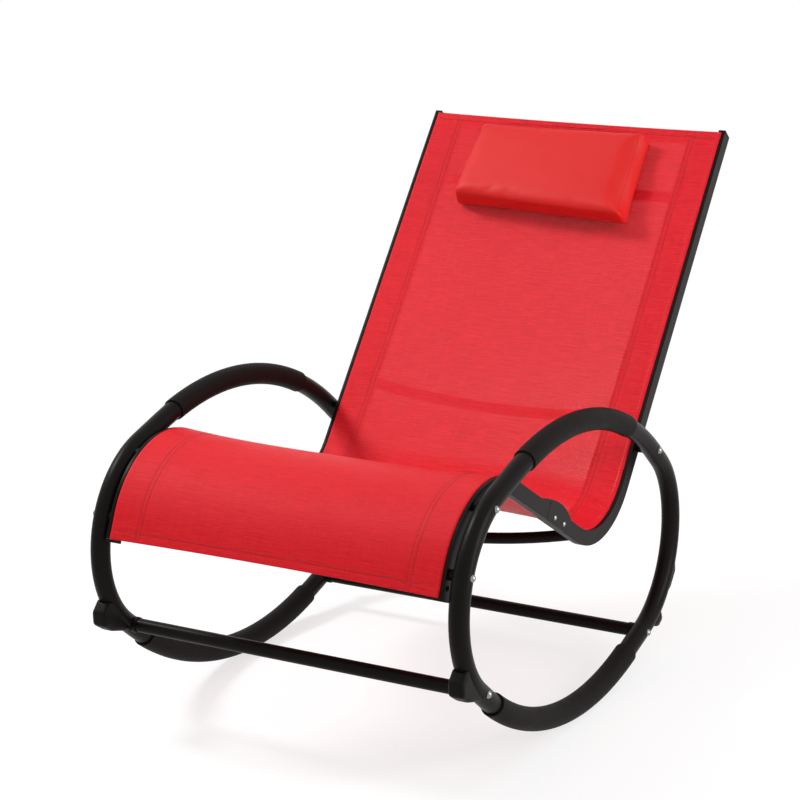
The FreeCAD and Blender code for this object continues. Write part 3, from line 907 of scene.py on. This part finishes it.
def swell(piece):
    rest = points_of(piece.data)
    cloth = piece.modifiers.new("stuffing", "CLOTH")
    cloth.settings.use_pressure = True
    cloth.settings.uniform_pressure_force = PILLOW_PRESSURE
    cloth.settings.effector_weights.gravity = 0
    for step in range(1, PILLOW_FRAMES + 1):
        scene.frame_set(step)
    apply_modifiers(piece)
    moved = points_of(piece.data) - rest
    size = np.linalg.norm(moved, axis=1, keepdims=True)
    kept = PILLOW_CAP * np.tanh(size / PILLOW_CAP)
    set_points(piece.data, rest + moved * kept / np.maximum(size, 1e-9))
    scene.frame_set(1)
    even = piece.modifiers.new("even_cloth", "SMOOTH")
    even.iterations = PILLOW_SMOOTHING
    apply_modifiers(piece)
    return float(kept.max())


print(f"the pillow's cloth swelled by up to {1000 * swell(pillow):.1f} mm")

# %% [markdown]
# The stuffed cover then settles on what is under it: flat on the sling, and a little hollow over the two
# fastening strips. At the lower corners the seams of three faces meet, and the cloth stands out there as
# small pinched ears.

# %% Settling the pillow
STRIP_ACROSS = 0.095
STRIP_HALF_WIDTH = 0.018
STRIP_ENDS = (-0.078, 0.096)
STRIP_TOP = 0.0044
STRIP_EASE = 0.010
EAR_REACH = 0.002
EAR_SIZE = 0.007
EAR_SHARE_OF_DEPTH = 0.88
EAR_SHAPE = (1, 1, 0.8)
EAR_RISE = 0.15


def strip_height(across, up):
    """Lowest place of the cover: on the sling, and over the strips wherever it slides along them."""
    beside_strip = np.abs(np.abs(across) - STRIP_ACROSS) - STRIP_HALF_WIDTH
    past_end = np.maximum(STRIP_ENDS[0] - up, up - STRIP_ENDS[1])
    away = np.clip(np.maximum(beside_strip, past_end) / STRIP_EASE, 0, 1)
    return STRIP_TOP + (PILLOW_FOOT - STRIP_TOP) * away * away * (3 - 2 * away)


def pinch_ears(points):
    half = np.array(PILLOW_SIZE) / 2
    for side in (-1, 1):
        near = points[np.argmax(side * points[:, 0] - points[:, 1])]
        corner = np.array((near[0], near[1], PILLOW_FOOT + PILLOW_SIZE[2] * EAR_SHARE_OF_DEPTH))
        distance = np.linalg.norm((points - corner) * EAR_SHAPE, axis=1)
        outward = np.array((side, -half[1] / half[0], EAR_RISE))
        points += np.exp(-(distance / EAR_SIZE) ** 2)[:, None] * outward * EAR_REACH
    return points


def settle(piece):
    points = pinch_ears(points_of(piece.data))
    points[:, 2] = np.maximum(points[:, 2], strip_height(points[:, 0], points[:, 1]))
    set_points(piece.data, points)
    smooth = piece.modifiers.new("smooth", "SUBSURF")
    smooth.levels = 1
    smooth.render_levels = 1
    apply_modifiers(piece)


settle(pillow)
pillow_low = points_of(pillow.data).min(axis=0)
pillow_high = points_of(pillow.data).max(axis=0)
print("pillow is", [round(1000 * side) for side in pillow_high - pillow_low], "mm")

# %% [markdown]
# The cover's front is sewn to its sides all round. Rays from inside the pillow find where that seam lies
# on the swollen cover, and a fine welt of the same cloth follows it.

# %% The pillow's seam
SEAM_INSET = 0.030
SEAM_RISE = 40.0
SEAM_FROM = 0.3
LONG_EDGE_STEPS = 60
SHORT_EDGE_STEPS = 28
CORNER_STEPS = 7


def seam_directions():
    """Places on an inner rectangle, each with the direction out of it, all the way round."""
    half_x = PILLOW_SIZE[0] / 2 - SEAM_INSET
    half_y = PILLOW_SIZE[1] / 2 - SEAM_INSET
    corners = [(half_x, -half_y), (half_x, half_y), (-half_x, half_y), (-half_x, -half_y)]
    places = []
    for number, (x, y) in enumerate(corners):
        next_x, next_y = corners[(number + 1) % 4]
        steps = SHORT_EDGE_STEPS if number % 2 == 0 else LONG_EDGE_STEPS
        for share in np.linspace(0, 1, steps, endpoint=False):
            places.append((x + (next_x - x) * share, y + (next_y - y) * share, 90 * number))
        for share in np.linspace(0, 1, CORNER_STEPS, endpoint=False):
            places.append((next_x, next_y, 90 * (number + share)))
    return places


def seam_points(piece):
    """Points of the seam on the cover, each with the cover's outward direction there."""
    corners = [vertex.co for vertex in piece.data.vertices]
    tree = BVHTree.FromPolygons(corners, [face.vertices for face in piece.data.polygons])
    rise = math.radians(SEAM_RISE)
    points = []
    for x, y, angle in seam_directions():
        turn = math.radians(angle)
        out = Vector((math.cos(turn) * math.cos(rise), math.sin(turn) * math.cos(rise), math.sin(rise)))
        start = Vector((x, y, PILLOW_FOOT + PILLOW_SIZE[2] * SEAM_FROM))
        found = tree.ray_cast(start, out)
        points.append((found[0], found[1]))
    return points


SEAM_LINE = seam_points(pillow)
print("points on the pillow's seam:", len(SEAM_LINE))

# %% [markdown]
# The welt is a closed tube of small rings, one ring round each point of the seam.

# %% The pillow's welt
WELT_RADIUS = 0.0005
WELT_SIDES = 8


def welt(name, points):
    """Closed tube round the points, each with the cover's direction there."""
    made = []
    count = len(points)
    for number, (point, out) in enumerate(points):
        ahead_of = (points[(number + 1) % count][0] - points[number - 1][0]).normalized()
        side = ahead_of.cross(out).normalized()
        for step in range(WELT_SIDES):
            angle = 2 * math.pi * step / WELT_SIDES
            made.append(point + (side * math.cos(angle) + out * math.sin(angle)) * WELT_RADIUS)
    quads = []
    for number in range(count):
        here = number * WELT_SIDES
        there = (number + 1) % count * WELT_SIDES
        for step in range(WELT_SIDES):
            after = (step + 1) % WELT_SIDES
            quads.append((here + step, here + after, there + after, there + step))
    mesh = bpy.data.meshes.new(name)
    mesh.from_pydata(made, [], quads)
    mesh.shade_smooth()
    return mesh


seam = bpy.data.objects.new("head_pillow_welt", welt("head_pillow_welt", SEAM_LINE))
scene.collection.objects.link(seam)
print("welt:", len(seam.data.polygons), "faces")

# %% [markdown]
# The pillow was made lying flat at the origin, because its formulas are simple there. One matrix lays it on
# the back: it turns it to the slope of the back, moves it up to the head end, and tilts it a little.

# %% The pillow in place
PILLOW_ACROSS = -0.011
PILLOW_UP = 0.545
PILLOW_TILT = -1.8


def back_frame():
    """From pillow space (across, up the back, off the back) to the chair's frame."""
    foot, heading = on_line(BACK_ALONG)
    turn = Matrix.Rotation(math.radians(heading), 4, "X")
    centre = Vector((PILLOW_ACROSS, PILLOW_UP, 0))
    tilt = Matrix.Rotation(math.radians(PILLOW_TILT), 4, "Z")
    return Matrix.Translation(foot) @ turn @ Matrix.Translation(centre) @ tilt


for piece in (pillow, seam):
    piece.data.transform(back_frame())
    piece.data.materials.clear()
    piece.data.materials.append(RED_COVER)
    piece.data.shade_smooth()
    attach(piece, "pillow")
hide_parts("head_pillow")
print("pillow on the back:", len(pillow.data.polygons), "faces")

# %% [markdown]
# ## Light and floor
#
# A plain studio has a white floor that runs on into a white surround. Enough light to make a grey floor
# white would wash out the chair, so part of the floor's light is its own. Near the chair it still takes
# the shadow, and further out it turns plain white.

# %% Floor
FLOOR_HALF = 9.0
FLOOR_OWN_LIGHT = 0.70
FLOOR_TONE = 0.34
FLOOR_BOUNCE = 0.85
SHADOW_REACH = (0.9, 1.7)


def seen_directly(start):
    """1 where the camera, a reflection or a see-through surface looks straight at this."""
    rays = [start.node("ShaderNodeLightPath", None, None, name)
            for name in ("Is Camera Ray", "Is Glossy Ray", "Is Transmission Ray")]
    return start.math("MINIMUM", rays[0] + rays[1] + rays[2], 1.0)


def white_floor():
    material, start = new_finish("white_floor")
    matt = start.node("ShaderNodeBsdfDiffuse", None, {"Color": grey(FLOOR_TONE)})
    bounce = start.node("ShaderNodeBsdfDiffuse", None, {"Color": grey(FLOOR_BOUNCE)})
    glow = start.node("ShaderNodeEmission", None, {"Strength": FLOOR_OWN_LIGHT})
    lit = start.node("ShaderNodeAddShader", None, {0: matt, 1: glow})
    white = start.node("ShaderNodeEmission", None, {"Strength": 1.0})
    reach = start.node("ShaderNodeVectorMath", {"operation": "LENGTH"}, {0: object_place(start)}, 1)
    far = start.node("ShaderNodeMapRange", {"interpolation_type": "SMOOTHSTEP"},
                     {"Value": reach, "From Min": SHADOW_REACH[0], "From Max": SHADOW_REACH[1]})
    shown = start.node("ShaderNodeMixShader", None, {0: far, 1: lit, 2: white})
    both = start.node("ShaderNodeMixShader", None, {0: seen_directly(start), 1: bounce, 2: shown})
    start.node("ShaderNodeOutputMaterial", None, {"Surface": both})
    return material


def floor():
    mesh = bpy.data.meshes.new("floor")
    corners = [(-FLOOR_HALF, -FLOOR_HALF, 0), (FLOOR_HALF, -FLOOR_HALF, 0),
               (FLOOR_HALF, FLOOR_HALF, 0), (-FLOOR_HALF, FLOOR_HALF, 0)]
    mesh.from_pydata(corners, [], [(0, 1, 2, 3)])
    mesh.materials.append(white_floor())
    plane = bpy.data.objects.new("floor", mesh)
    scene.collection.objects.link(plane)


floor()
print("floor:", 2 * FLOOR_HALF, "m wide")

# %% [markdown]
# The surround lights the chair softly, and more from overhead than from the sides. Looked at straight, in
# a reflection or through the mesh, it is plain white.

# %% Surround
SKY_LIGHT = (0.32, 0.75)
SKY_RISE = (0.1, 0.85)


def surround():
    world = bpy.data.worlds.new("white_surround")
    world.use_nodes = True
    world.node_tree.nodes.clear()
    start = Wire(world.node_tree)
    direction = start.node("ShaderNodeTexCoord", None, None, "Generated")
    height = start.node("ShaderNodeSeparateXYZ", None, {"Vector": direction}, 2)
    soft_sky = start.node("ShaderNodeMapRange", {"interpolation_type": "SMOOTHSTEP"},
                          {"Value": height, "From Min": SKY_RISE[0], "From Max": SKY_RISE[1],
                           "To Min": SKY_LIGHT[0], "To Max": SKY_LIGHT[1]})
    strength = soft_sky + (1 - soft_sky) * seen_directly(start)
    background = start.node("ShaderNodeBackground", None, {"Color": (1, 1, 1, 1), "Strength": strength})
    start.node("ShaderNodeOutputWorld", None, {"Surface": background})
    scene.world = world


surround()
print("surround:", SKY_LIGHT[0], "at the sides to", SKY_LIGHT[1], "overhead")

# %% [markdown]
# Two area lamps give the forms their direction: a small key lamp up to the left, whose shadow of the pillow
# falls on the sling, and a larger one low at the right, which picks out the tubes.

# %% Lamps
LAMP_AIM = Vector((0, 0, 0.5))


def lamp(name, place, size, power):
    light = bpy.data.lights.new(name, "AREA")
    light.shape = "RECTANGLE"
    light.size, light.size_y = size
    light.energy = power
    lamp_object = bpy.data.objects.new(name, light)
    lamp_object.location = place
    direction = LAMP_AIM - Vector(place)
    lamp_object.rotation_euler = direction.to_track_quat("-Z", "Y").to_euler()
    scene.collection.objects.link(lamp_object)


lamp("key", place=(-2.4, -0.7, 2.9), size=(0.8, 0.8), power=78)
lamp("right", place=(2.6, 0.1, 1.1), size=(1.0, 1.8), power=44)
print("lamps:", [light.name for light in bpy.data.lights])
